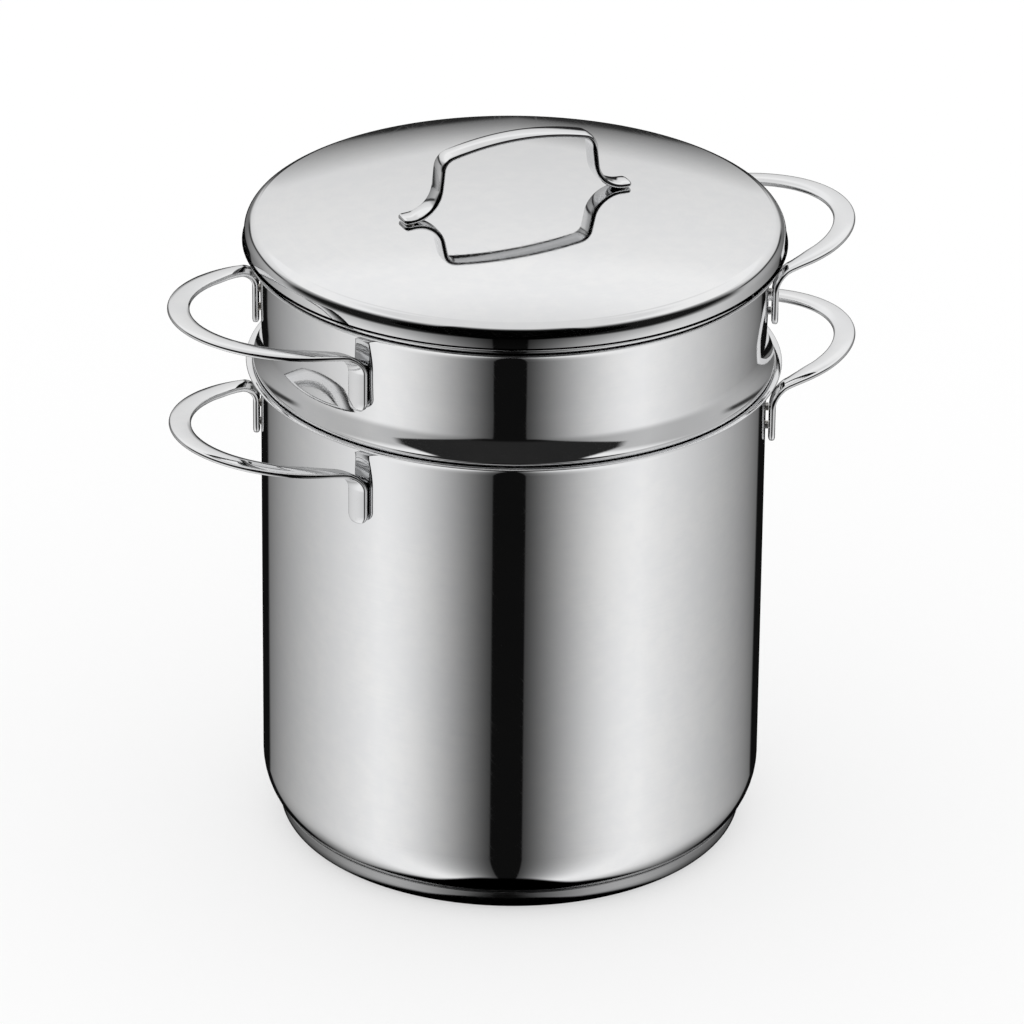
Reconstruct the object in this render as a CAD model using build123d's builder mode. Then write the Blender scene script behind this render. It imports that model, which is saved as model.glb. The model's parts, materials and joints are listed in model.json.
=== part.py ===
from build123d import *
import math
import os

# Pasta pot with a strainer insert and a lid, all of polished stainless sheet and strip.
# Millimetres and degrees. The origin is at the bottom centre, Z points up, the handles lie along X.

# Sheet, clearances and the overrun of cuts
sheet = 0.8
seat_clearance = 0.3
overrun = 5.0

# Pot body
pot_inner_radius = 100.0
pot_rim_top = 201.0
pot_corner_radius = 27.0
pot_corner_lift = 0.3
pot_floor_blend = 8.0
rim_flare_radius = 4.7
rim_droop_angle = 14.0

# Base under the pot
base_setback = 6.8
capsule_height = 8.8
capsule_corner_radius = 6.5
core_thickness = 4.9

# Strainer collar, its folded bead and its own rim
collar_rise = 48.0
collar_flare_radius = 4.2
skirt_rise = 11.2
bead_offset = 1.5
bead_radius = 1.6
hem_return = 2.0

# Strainer basket and its holes
basket_clearance = 2.8
basket_shortfall = 31.0
basket_corner_radius = 22.0
basket_flange_blend = 3.0
hole_diameter = 5.6
wall_holes_per_row = 34
wall_hole_pitch = 14.0
wall_hole_start = 34.0
wall_hole_top_margin = 20.0
floor_ring_pitch = 15.5
holes_added_per_ring = 6

# Lid
lid_rise = 18.9
dome_radius = 782.0
lid_overhang = 6.35
lid_hem_lift = 1.8
lid_shoulder_radius = 5.6
lid_hem_width = 1.65
lid_bend_radius = 1.0
lid_return_radius = 0.4
plug_clearance = 0.7
plug_depth = 4.6

# Strip that all the handles are bent from, and the weld studs under it
strip_width = 9.2
strip_thickness = 2.4
boss_diameter = 3.2
boss_gap = 1.1

# Side handles: an elliptic loop in a plane that rises outwards, with a tab at each end
loop_inset = 10.3
loop_reach = 51.9
loop_half_span = 45.6
loop_rise_angle = 5.0
pot_handle_drop = 12.1
strainer_handle_drop = 10.1
leg_gap = 3.2
tab_outset = 0.7248
tab_drop = 22.4
tab_corner_radius = 3.4
knee_radius = 7.0
knee_overlap = 0.5
boss_start = 5.0
boss_pitch = 8.0

# Lid handle: a bow with two feet that point outwards
bow_half_length = 49.25
bow_foot_length = 13.95
bow_leg_lean = 3.7
bow_shoulder_rise = 22.9
bow_arch_rise = 4.65
bow_foot_blend = 10.4
bow_shoulder_blend = 6.0
bow_foot_gap = 0.6
bow_turn_angle = -2.3
bow_boss_pitch = 4.4
bow_boss_inset = 3.2

# Places that follow from the sizes above
pot_outer_radius = pot_inner_radius + sheet
floor_underside = sheet + core_thickness
corner_center_radius = pot_outer_radius - pot_corner_radius
corner_center_height = pot_corner_lift + pot_corner_radius
capsule_edge_radius = pot_outer_radius - base_setback
pot_flare_center = pot_outer_radius + rim_flare_radius
pot_flare_height = pot_rim_top - rim_flare_radius - sheet
bead_center_radius = pot_outer_radius + bead_offset
bead_reach = rim_flare_radius + sheet + seat_clearance + bead_radius
bead_height = pot_flare_height + math.sqrt(bead_reach**2 - (pot_flare_center - bead_center_radius) ** 2)
flange_underside = bead_height - bead_radius + sheet
skirt_top = pot_rim_top + skirt_rise
collar_rim_top = pot_rim_top + collar_rise
basket_wall_radius = pot_inner_radius - basket_clearance
basket_depth = pot_rim_top - basket_shortfall
basket_bottom = flange_underside - basket_depth
wall_hole_rows = 1 + int((basket_depth - wall_hole_start - wall_hole_top_margin) / wall_hole_pitch)
floor_ring_count = int((basket_wall_radius - basket_corner_radius - hole_diameter) / floor_ring_pitch)
collar_flare_center = pot_outer_radius + collar_flare_radius
collar_flare_height = collar_rim_top - collar_flare_radius - sheet
lid_rest_height = collar_rim_top + seat_clearance
plug_radius = pot_inner_radius - plug_clearance
lid_top = lid_rest_height + lid_rise
lid_skirt_bottom = lid_rest_height + lid_hem_lift
lid_skirt_radius = pot_outer_radius + lid_overhang
lid_step_radius = lid_skirt_radius - lid_hem_width
tab_center_radius = pot_outer_radius + boss_gap + strip_thickness / 2
loop_center = pot_outer_radius - loop_inset
leg_end = pot_outer_radius + leg_gap
tab_half_spacing = loop_half_span + tab_outset
pot_handle_height = pot_rim_top - pot_handle_drop
strainer_handle_height = collar_rim_top - strainer_handle_drop
bow_leg_foot = bow_half_length - bow_foot_length
bow_leg_top = bow_leg_foot - bow_leg_lean
bow_shoulder_height = lid_top + bow_shoulder_rise
bow_top = bow_shoulder_height + bow_arch_rise
half_width = strip_width / 2
half_strip = strip_thickness / 2

os.makedirs("parts", exist_ok=True)


def sheet_section(outline, side):
    """Section of a sheet whose outer side is an open outline of radius and height."""
    with BuildSketch(Plane.XZ) as section:
        with BuildLine():
            add(outline.line)
            offset(amount=sheet, side=side)
        make_face()
    return section.sketch


def filled_section(outline, inner_corner):
    """Section of the whole space between an open outline and the axis."""
    with BuildSketch(Plane.XZ) as section:
        with BuildLine():
            add(outline.line)
            Polyline(outline.line @ 1, inner_corner, outline.line @ 0)
        make_face()
    return section.sketch


def corner_at(outline, place):
    """Vertex of an outline at a place."""
    return outline.vertices().sort_by_distance(place)[0]


# Outer side of the pot: floor and round corner, then the wall and the flared rim
corner_center = (corner_center_radius, corner_center_height)
corner_start_drop = corner_center_height - floor_underside
corner_start_angle = math.degrees(math.asin(corner_start_drop / pot_corner_radius))
corner_start_radius = corner_center_radius + math.sqrt(pot_corner_radius**2 - corner_start_drop**2)
with BuildLine() as floor_outline:
    Line((0, floor_underside), (corner_start_radius, floor_underside))
    CenterArc(corner_center, pot_corner_radius, -corner_start_angle, corner_start_angle)
    fillet(corner_at(floor_outline, (corner_start_radius, floor_underside)), pot_floor_blend)

with BuildLine() as pot_outline:
    add(floor_outline.line)
    Line((pot_outer_radius, corner_center_height), (pot_outer_radius, pot_flare_height))
    CenterArc((pot_flare_center, pot_flare_height), rim_flare_radius, 180, -90 - rim_droop_angle)

with BuildPart() as pot_shell:
    revolve(sheet_section(pot_outline, Side.LEFT), axis=Axis.Z)
pot_shell.part.label = "pot_shell"
export_step(pot_shell.part, "parts/pot_shell.step")


# Space that the pot's floor and corner take, which the base is trimmed to
with BuildPart() as pot_body:
    revolve(filled_section(floor_outline, (0, corner_center_height)), axis=Axis.Z)

# Capsule: a shallow stainless dish, closed against the pot's corner
with BuildLine() as capsule_outline:
    Line((0, 0), (capsule_edge_radius, 0))
    Line((capsule_edge_radius, 0), (capsule_edge_radius, capsule_height))
    fillet(corner_at(capsule_outline, (capsule_edge_radius, 0)), capsule_corner_radius)

with BuildPart() as base_capsule:
    revolve(sheet_section(capsule_outline, Side.LEFT), axis=Axis.Z)
    add(pot_body.part, mode=Mode.SUBTRACT)
base_capsule.part.label = "base_capsule"
export_step(base_capsule.part, "parts/base_capsule.step")

# Aluminium core: fills the space between the capsule and the pot
core_radius = capsule_edge_radius - sheet
with BuildLine() as core_outline:
    Line((0, sheet), (core_radius, sheet))
    Line((core_radius, sheet), (core_radius, capsule_height))
    fillet(corner_at(core_outline, (core_radius, sheet)), capsule_corner_radius - sheet)

with BuildPart() as base_core:
    revolve(filled_section(core_outline, (0, capsule_height)), axis=Axis.Z)
    add(pot_body.part, mode=Mode.SUBTRACT)
base_core.part.label = "base_core"
export_step(base_core.part, "parts/base_core.step")


# Strainer collar. The skirt's arc is tangent to the wall above it and to the bead below it.
bead_offset = bead_center_radius - pot_outer_radius
skirt_drop = skirt_top - bead_height
skirt_radius = (skirt_drop**2 + bead_offset**2 - bead_radius**2) / (2 * (bead_radius + bead_offset))
skirt_angle = math.degrees(math.asin(skirt_drop / (skirt_radius + bead_radius)))
hem_bottom = bead_height - bead_radius
with BuildLine() as collar_outline:
    Line((bead_center_radius - hem_return, hem_bottom), (bead_center_radius, hem_bottom))
    CenterArc((bead_center_radius, bead_height), bead_radius, -90, 90 + skirt_angle)
    CenterArc((pot_outer_radius + skirt_radius, skirt_top), skirt_radius, 180 + skirt_angle, -skirt_angle)
    Line((pot_outer_radius, skirt_top), (pot_outer_radius, collar_flare_height))
    CenterArc((collar_flare_center, collar_flare_height), collar_flare_radius, 180, -90 - rim_droop_angle)

with BuildPart() as strainer_collar:
    revolve(sheet_section(collar_outline, Side.LEFT), axis=Axis.Z)
strainer_collar.part.label = "strainer_collar"
export_step(strainer_collar.part, "parts/strainer_collar.step")


# Strainer basket: its flange lies on the returned hem inside the bead
flange_arc_height = flange_underside - basket_flange_blend
flange_start = basket_wall_radius + basket_flange_blend
with BuildLine() as basket_outline:
    Line((0, basket_bottom), (basket_wall_radius, basket_bottom))
    Line((basket_wall_radius, basket_bottom), (basket_wall_radius, flange_arc_height))
    CenterArc((flange_start, flange_arc_height), basket_flange_blend, 180, -90)
    Line((flange_start, flange_underside), (bead_center_radius, flange_underside))
    fillet(corner_at(basket_outline, (basket_wall_radius, basket_bottom)), basket_corner_radius)

with BuildPart() as strainer_basket:
    revolve(sheet_section(basket_outline, Side.LEFT), axis=Axis.Z)
    half_step = 180 / wall_holes_per_row
    for row in range(wall_hole_rows):
        row_height = basket_bottom + wall_hole_start + row * wall_hole_pitch
        with Locations(Plane.XY.offset(row_height)):
            with PolarLocations(basket_wall_radius, wall_holes_per_row, start_angle=(row % 2) * half_step):
                Cylinder(hole_diameter / 2, 2 * overrun, rotation=(0, 90, 0), mode=Mode.SUBTRACT)
    with BuildSketch(Plane.XY.offset(basket_bottom - overrun)):
        Circle(hole_diameter / 2)
        for ring in range(1, floor_ring_count + 1):
            with PolarLocations(ring * floor_ring_pitch, ring * holes_added_per_ring):
                Circle(hole_diameter / 2)
    extrude(amount=2 * overrun, mode=Mode.SUBTRACT)
strainer_basket.part.label = "strainer_basket"
export_step(strainer_basket.part, "parts/strainer_basket.step")


# Lid: dome, round shoulder, upright skirt, hem turned in, rest ring and locating plug
dome_angle = math.degrees(math.asin(lid_skirt_radius / dome_radius))
dome_center = lid_top - dome_radius
dome_edge = dome_center + math.sqrt(dome_radius**2 - lid_skirt_radius**2)
with BuildLine() as lid_outline:
    CenterArc((0, dome_center), dome_radius, 90, -dome_angle)
    Polyline(
        (lid_skirt_radius, dome_edge),
        (lid_skirt_radius, lid_skirt_bottom),
        (lid_step_radius, lid_skirt_bottom),
        (lid_step_radius, lid_rest_height),
        (plug_radius, lid_rest_height),
        (plug_radius, lid_rest_height - plug_depth),
    )
    fillet(corner_at(lid_outline, (lid_skirt_radius, dome_edge)), lid_shoulder_radius)
    fillet(corner_at(lid_outline, (lid_skirt_radius, lid_skirt_bottom)), lid_bend_radius)
    fillet(corner_at(lid_outline, (lid_step_radius, lid_skirt_bottom)), lid_return_radius)
    fillet(corner_at(lid_outline, (lid_step_radius, lid_rest_height)), lid_bend_radius)
    fillet(corner_at(lid_outline, (plug_radius, lid_rest_height)), lid_return_radius)

with BuildPart() as lid_shell:
    revolve(sheet_section(lid_outline, Side.RIGHT), axis=Axis.Z)
lid_shell.part.label = "lid_shell"
export_step(lid_shell.part, "parts/lid_shell.step")


def dome_height(radius):
    """Height of the lid's outer surface at a radius inside the shoulder."""
    return dome_center + math.sqrt(dome_radius**2 - radius**2)


# Side handle tabs: where they stand and which way they face
tab_turn = math.asin(tab_half_spacing / tab_center_radius)
tab_normal = Vector(math.cos(tab_turn), math.sin(tab_turn), 0)
tab_across = Vector(-math.sin(tab_turn), math.cos(tab_turn), 0)
tab_place = tab_normal * tab_center_radius

# Middle of the strip where the loop ends and the leg begins
leg_share = (leg_end - loop_center) / loop_reach
leg_middle = Vector(leg_end, loop_half_span * math.sqrt(1 - leg_share**2), 0)
leg_way = Vector(leg_middle.X - tab_place.X, leg_middle.Y - tab_place.Y, 0).normalized()
knee_stretch = 1 / tab_normal.dot(leg_way)
knee_start = tab_place + leg_way * (knee_radius * knee_stretch)


def ellipse_span(half_span, reach):
    """Half span of an ellipse of the loop at the leg's end."""
    return half_span * math.sqrt(1 - ((leg_end - loop_center) / reach) ** 2)


def side_handle(height):
    """Right-hand handle whose loop plane passes the pot's wall at a height."""
    rise = math.radians(loop_rise_angle)
    loop_plane = Plane(
        origin=(pot_outer_radius, 0, height),
        x_dir=(math.cos(rise), 0, math.sin(rise)),
        z_dir=(-math.sin(rise), 0, math.cos(rise)),
    )
    tab_top = Vector(tab_place.X, tab_place.Y, height - knee_radius)
    knee_plane = Plane(origin=tab_top, x_dir=leg_way, z_dir=leg_way.cross(Vector(0, 0, 1)))
    tab_plane = Plane(origin=tab_top, x_dir=tab_across, z_dir=tab_normal)
    tab_length = tab_drop - knee_radius
    inner_knee = knee_radius - half_strip
    outer_knee = knee_radius + half_strip
    knee_corner = knee_radius * knee_stretch
    inner_reach = inner_knee * knee_stretch
    outer_reach = outer_knee * knee_stretch
    neck_inner = knee_start - tab_across * half_width - leg_way * knee_overlap
    neck_outer = knee_start + tab_across * half_width - leg_way * knee_overlap
    loop_shift = loop_center - pot_outer_radius
    leg_cut = leg_end - pot_outer_radius
    with BuildPart() as handle:
        with BuildSketch(loop_plane):
            with Locations((loop_shift, 0)):
                Ellipse(loop_reach + half_width, loop_half_span + half_width)
                Ellipse(loop_reach - half_width, loop_half_span - half_width, mode=Mode.SUBTRACT)
            with Locations((leg_cut, 0)):
                Rectangle(
                    loop_reach + strip_width,
                    2 * (loop_half_span + strip_width),
                    align=(Align.MIN, Align.CENTER),
                    mode=Mode.INTERSECT,
                )
        extrude(amount=half_strip, both=True)
        with BuildSketch(loop_plane):
            with BuildLine():
                Polyline(
                    (leg_cut, ellipse_span(loop_half_span - half_width, loop_reach - half_width)),
                    (leg_cut, ellipse_span(loop_half_span + half_width, loop_reach + half_width)),
                    (neck_outer.X - pot_outer_radius, neck_outer.Y),
                    (neck_inner.X - pot_outer_radius, neck_inner.Y),
                    close=True,
                )
            make_face()
        extrude(amount=half_strip, both=True)
        with BuildSketch(knee_plane):
            with BuildLine():
                EllipticalCenterArc((knee_corner, 0), outer_reach, outer_knee, 90, arc_size=90)
                EllipticalCenterArc((knee_corner, 0), inner_reach, inner_knee, 90, arc_size=90)
                Line((knee_corner, inner_knee), (knee_corner, outer_knee))
                Line((knee_corner - outer_reach, 0), (knee_corner - inner_reach, 0))
            make_face()
        extrude(amount=half_width, dir=tab_across, both=True)
        with BuildSketch(tab_plane) as tab_section:
            Rectangle(strip_width, tab_length, align=(Align.CENTER, Align.MAX))
            fillet(tab_section.vertices().group_by(Axis.Z)[0], tab_corner_radius)
        extrude(amount=half_strip, both=True)
        mirror(about=Plane.XZ)
    return handle.part


def side_bosses(height):
    """Weld studs between the wall and the two tabs of a right-hand handle."""
    boss_bottom = height - tab_drop + boss_start
    stud_face = tab_normal * (tab_center_radius - half_strip)
    stud_plane = Plane(origin=(stud_face.X, stud_face.Y, boss_bottom), x_dir=tab_across, z_dir=-tab_normal)
    with BuildPart() as studs:
        with BuildSketch(stud_plane):
            with Locations((0, 0), (0, -boss_pitch)):
                Circle(boss_diameter / 2)
        extrude(amount=boss_gap + overrun)
        with Locations(Plane.XY.offset(height)):
            Cylinder(pot_outer_radius, 2 * (tab_drop + overrun), mode=Mode.SUBTRACT)
        mirror(about=Plane.XZ)
    return studs.part


def save_pair(make_piece, name, height):
    """Write a right-hand piece and its mirror image on the left."""
    with BuildPart() as right_piece:
        add(make_piece(height))
    right_piece.part.label = name + "_right"
    export_step(right_piece.part, "parts/" + name + "_right.step")
    with BuildPart() as left_piece:
        mirror(right_piece.part, about=Plane.YZ)
    left_piece.part.label = name + "_left"
    export_step(left_piece.part, "parts/" + name + "_left.step")


for owner, owner_height in (("pot", pot_handle_height), ("strainer", strainer_handle_height)):
    save_pair(side_handle, owner + "_handle", owner_height)
    save_pair(side_bosses, owner + "_weld_bosses", owner_height)


# Lid handle: a strip bow on the dome, turned a little from the side handles
bow_turn = math.radians(bow_turn_angle)
bow_way = Vector(math.cos(bow_turn), math.sin(bow_turn), 0)
bow_plane = Plane(origin=(0, 0, 0), x_dir=bow_way, z_dir=bow_way.cross(Vector(0, 0, 1)))
bow_boss_radius = bow_half_length - bow_boss_inset
bow_boss_side = bow_boss_pitch / 2
boss_cut_bottom = dome_edge - 2 * overrun
foot_underside = dome_height(bow_boss_radius) + bow_foot_gap
foot_height = foot_underside + half_strip
with BuildLine() as bow_outline:
    Polyline(
        (-bow_half_length, foot_height), (-bow_leg_foot, foot_height), (-bow_leg_top, bow_shoulder_height)
    )
    ThreePointArc((-bow_leg_top, bow_shoulder_height), (0, bow_top), (bow_leg_top, bow_shoulder_height))
    Polyline((bow_leg_top, bow_shoulder_height), (bow_leg_foot, foot_height), (bow_half_length, foot_height))
    for side in (-1, 1):
        fillet(corner_at(bow_outline, (side * bow_leg_foot, foot_height)), bow_foot_blend)
        fillet(corner_at(bow_outline, (side * bow_leg_top, bow_shoulder_height)), bow_shoulder_blend)

with BuildPart() as lid_handle:
    with BuildSketch(bow_plane):
        with BuildLine():
            add(bow_outline.line)
            offset(amount=half_strip, side=Side.BOTH)
        make_face()
    extrude(amount=half_width, both=True)
lid_handle.part.label = "lid_handle"
export_step(lid_handle.part, "parts/lid_handle.step")

with BuildPart() as lid_weld_bosses:
    for side in (-1, 1):
        with BuildSketch(Plane(origin=(0, 0, foot_underside), x_dir=bow_way, z_dir=(0, 0, 1))):
            with Locations((side * bow_boss_radius, -bow_boss_side), (side * bow_boss_radius, bow_boss_side)):
                Circle(boss_diameter / 2)
        extrude(amount=-bow_foot_gap - overrun)
    with BuildSketch(Plane.XZ):
        with BuildLine():
            lid_curve = CenterArc((0, dome_center), dome_radius, 90, -dome_angle)
            Polyline(lid_curve @ 1, (lid_skirt_radius, boss_cut_bottom), (0, boss_cut_bottom), lid_curve @ 0)
        make_face()
    revolve(axis=Axis.Z, mode=Mode.SUBTRACT)
lid_weld_bosses.part.label = "lid_weld_bosses"
export_step(lid_weld_bosses.part, "parts/lid_weld_bosses.step")
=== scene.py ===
"""Looks of a pasta pot with a lift-out strainer and a lid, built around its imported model.

Sizes in the classes are in millimetres and angles in degrees. Meshes are in metres, in the model's own frame.
"""

from __future__ import annotations

import json
import logging
import math
from dataclasses import dataclass, field
from enum import Enum
from functools import cache
from typing import Any, ClassVar, Sequence

import bpy
from mathutils import Matrix, Vector


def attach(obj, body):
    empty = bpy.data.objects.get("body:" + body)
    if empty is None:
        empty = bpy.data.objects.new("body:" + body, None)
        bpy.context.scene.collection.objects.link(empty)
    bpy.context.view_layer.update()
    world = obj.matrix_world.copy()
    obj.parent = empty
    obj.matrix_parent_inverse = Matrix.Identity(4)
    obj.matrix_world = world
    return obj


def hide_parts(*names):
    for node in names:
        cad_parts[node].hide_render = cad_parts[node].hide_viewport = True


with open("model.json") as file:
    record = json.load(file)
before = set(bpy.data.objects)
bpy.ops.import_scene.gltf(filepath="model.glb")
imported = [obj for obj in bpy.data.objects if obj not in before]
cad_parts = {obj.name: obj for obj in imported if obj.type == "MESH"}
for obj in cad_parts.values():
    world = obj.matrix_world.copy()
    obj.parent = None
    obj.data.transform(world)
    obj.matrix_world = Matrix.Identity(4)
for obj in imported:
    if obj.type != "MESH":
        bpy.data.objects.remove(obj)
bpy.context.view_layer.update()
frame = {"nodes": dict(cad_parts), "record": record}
log = logging.getLogger("pasta_pot")

MM = 0.001
CAMERA_AZIMUTH = -26.9
NO_RADIUS = MM * MM
NOISE_MEAN = 0.5


class Body(Enum):
    """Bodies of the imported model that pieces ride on."""

    POT = "pot"
    STRAINER = "strainer"
    LID = "lid"


class Slot(Enum):
    """Material slots of the record."""

    POLISHED = "polished_steel"
    BASE = "base_steel"
    INNER = "inner_steel"
    STRIP = "strip_steel"
    STUD = "stud_steel"
    CORE = "core_aluminium"


class Facing(Enum):
    """Side of a drawn section line that is the outer side of its sheet."""

    RIGHT = 1
    LEFT = -1


class Hand(Enum):
    """Side of the pot that a handle stands on."""

    RIGHT = 1
    LEFT = -1


class Lay(Enum):
    """Way that the polish lines of a piece run."""

    WALL = "round the axis, on walls and flares"
    DOME = "round the axis, on the lid"
    LOOP = "along a side loop"
    BOW = "along the bow"


# A place with the direction that goes with it, two ends of a stretch, and a stretch with an amount
Station = tuple[Vector, Vector]
Span = tuple[float, float]
Step = tuple[float, float, float]


def turned(angle: float) -> Vector:
    """Unit direction of radius and height at an angle in degrees."""
    return Vector((math.cos(math.radians(angle)), math.sin(math.radians(angle))))


def angle_of(way: Vector) -> float:
    """Angle in degrees of a direction of radius and height."""
    return math.degrees(math.atan2(way.y, way.x))


class Contour:
    """Section line of radius and height, from which a turned piece is made.

    Args:
        start: First radius and height.
        facing: Which side of the line is the outer side.
    """

    arc_step = 6.0
    longest_step = 6.0
    straight_stretch = 4
    rim_steps = 8

    def __init__(self, start: Sequence[float], facing: Facing = Facing.RIGHT) -> None:
        """Puts the pen at the first point."""
        self.pen = Vector(start)
        self.facing = facing
        self.spans: list[list[Station]] = []

    def line(self, radius: float, height: float) -> Contour:
        """Draws a straight run.

        Args:
            radius: Radius of its end.
            height: Height of its end.

        Returns:
            The contour itself.
        """
        end = Vector((radius, height))
        way = (end - self.pen).normalized()
        out = Vector((way.y, -way.x)) * self.facing.value
        pieces = max(1, math.ceil((end - self.pen).length / (self.straight_stretch * self.longest_step)))
        self.spans.append([(self.pen.lerp(end, i / pieces), out) for i in range(pieces + 1)])
        self.pen = end
        return self

    def arc(self, center: Sequence[float], radius: float, start: float, sweep: float) -> Contour:
        """Draws an arc.

        Args:
            center: Radius and height of its centre.
            radius: Radius of the arc.
            start: Angle where it starts.
            sweep: Angle that it turns through, positive for a left turn.

        Returns:
            The contour itself.
        """
        middle = Vector(center)
        length = math.radians(abs(sweep)) * radius
        pieces = max(2, math.ceil(abs(sweep) / self.arc_step), math.ceil(length / self.longest_step))
        side = self.facing.value * math.copysign(1, sweep)
        ways = [turned(start + sweep * i / pieces) for i in range(pieces + 1)]
        self.spans.append([(middle + way * radius, way * side) for way in ways])
        self.pen = middle + ways[-1] * radius
        return self

    def corner(self, corner: Sequence[float], after: Sequence[float], radius: float) -> Contour:
        """Draws a straight run to a corner and rounds it towards the next point.

        Args:
            corner: Radius and height of the sharp corner.
            after: Point that the line heads for after it.
            radius: Radius of the rounding.

        Returns:
            The contour itself.
        """
        point = Vector(corner)
        back = (self.pen - point).normalized()
        ahead = (Vector(after) - point).normalized()
        half = back.angle(ahead) / 2
        middle = point + (back + ahead).normalized() * (radius / math.sin(half))
        first = point + back * (radius / math.tan(half))
        last = point + ahead * (radius / math.tan(half))
        self.line(*first)
        start = angle_of(first - middle)
        sweep = (angle_of(last - middle) - start + 180) % 360 - 180
        return self.arc(middle, radius, start, sweep)

    def sheet(self, thickness: float) -> list[list[Station]]:
        """Closes the line into the section of a sheet with rounded edges.

        Args:
            thickness: Thickness of the sheet, laid on the inner side.

        Returns:
            Spans of the section, in order.
        """
        outer = list(self.spans)
        inner = [
            [(point - out * thickness, -out) for point, out in reversed(span)] for span in reversed(outer)
        ]
        section = outer + [self.rim(outer[-1][-1], thickness)] + inner
        if outer[0][0][0].x > 0:
            section.append(self.rim(inner[-1][-1], thickness))
        return section

    def rim(self, edge: Station, thickness: float) -> list[Station]:
        """Half round that closes the edge of a sheet."""
        point, out = edge
        middle = point - out * (thickness / 2)
        start = angle_of(out)
        turn = self.facing.value * 180 / self.rim_steps
        ways = [turned(start + turn * step) for step in range(self.rim_steps + 1)]
        return [(middle + way * (thickness / 2), way) for way in ways]


def linked(name: str, data: bpy.types.ID) -> bpy.types.Object:
    """Puts a new object with its data into the scene."""
    item = bpy.data.objects.new(name, data)
    bpy.context.scene.collection.objects.link(item)
    return item


def mesh_object(
    name: str, points: list[Vector], faces: list[list[int]], normals: list[Vector]
) -> bpy.types.Object:
    """Makes an object whose surface faces exactly as drawn.

    Args:
        name: Name of the object.
        points: Points in metres.
        faces: Corners of each face.
        normals: One direction per face corner, in the order of the faces.

    Returns:
        The new object.
    """
    mesh = bpy.data.meshes.new(name)
    mesh.from_pydata(points, [], faces)
    mesh.shade_smooth()
    mesh.normals_split_custom_set([tuple(normal) for normal in normals])
    mesh.validate()
    return linked(name, mesh)


def turned_piece(name: str, spans: list[list[Station]], facing: Facing, around: int = 240) -> bpy.types.Object:
    """Turns a closed section about the upright axis.

    Args:
        name: Name of the piece.
        spans: Spans of the section, in order.
        facing: Side of the line that faces out.
        around: Number of steps round the axis.

    Returns:
        The new object.
    """
    angles = [math.tau * i / around for i in range(around)]
    turns = [Vector((math.cos(angle), math.sin(angle))) for angle in angles]
    edges = [(span[i], span[i + 1]) for span in spans for i in range(len(span) - 1)]
    points: list[Vector] = []
    rings: list[list[int]] = []
    closed = spans[0][0][0].x > 0
    for (point, _), _ in edges if closed else edges + [(edges[-1][1], edges[-1][1])]:
        radius, height = point.x * MM, point.y * MM
        if radius < NO_RADIUS:
            rings.append([len(points)] * around)
            points.append(Vector((0, 0, height)))
        else:
            rings.append(list(range(len(points), len(points) + around)))
            points += [Vector((turn.x * radius, turn.y * radius, height)) for turn in turns]
    faces: list[list[int]] = []
    normals: list[Vector] = []
    for place, ((_, first), (_, last)) in enumerate(edges):
        low, high = rings[place], rings[(place + 1) % len(rings)]
        for i in range(around):
            k = (i + 1) % around
            corners = [(low[i], first, i), (low[k], first, k), (high[k], last, k), (high[i], last, i)]
            if low[i] == low[k]:
                corners.pop(1)
            if high[i] == high[k]:
                corners.pop(-1)
            if facing is Facing.LEFT:
                corners.reverse()
            faces.append([corner for corner, _, _ in corners])
            normals += [Vector((turns[j].x * out.x, turns[j].y * out.x, out.y)) for _, out, j in corners]
    return mesh_object(name, points, faces, normals)


def distances(path: list[Station]) -> list[float]:
    """Way along a path from its start to each of its places."""
    way = [0.0]
    for i in range(1, len(path)):
        way.append(way[-1] + (path[i][0] - path[i - 1][0]).length)
    return way


@dataclass
class StripFrame:
    """One place along a bent strip: its middle, its width direction and how full its section is."""

    middle: Vector
    across: Vector
    half_width: float
    half_thickness: float


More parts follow.
